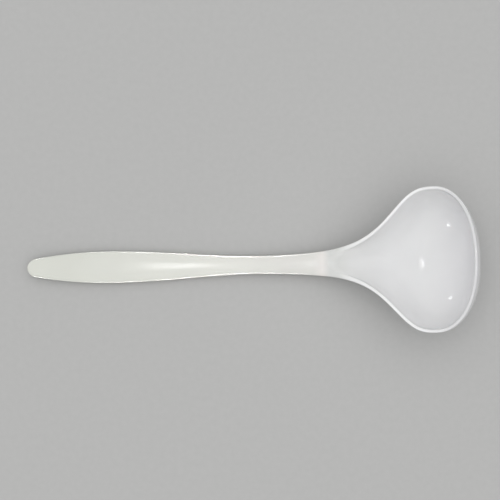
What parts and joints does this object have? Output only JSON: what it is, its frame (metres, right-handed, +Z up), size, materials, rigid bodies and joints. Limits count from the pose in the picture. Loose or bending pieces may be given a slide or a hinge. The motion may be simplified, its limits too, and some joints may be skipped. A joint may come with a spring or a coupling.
{
  "type": "soup ladle",
  "caption": "Deep round bowl with a rounded lip that flares from a slim crowned handle, moulded in one piece and lying on its back.",
  "frame": {"origin": "the point where the underside of the bowl touches the table", "axes": "+X along the ladle from the handle's end towards the bowl's tip, +Z up from the table, +Y across it to the left of that direction"},
  "size_m": [0.2914, 0.0916, 0.0506],
  "materials": {
    "melamine": "polished white melamine"
  },
  "bodies": {
    "root": {"bowl": "melamine", "handle": "melamine"}
  },
  "joints": []
}
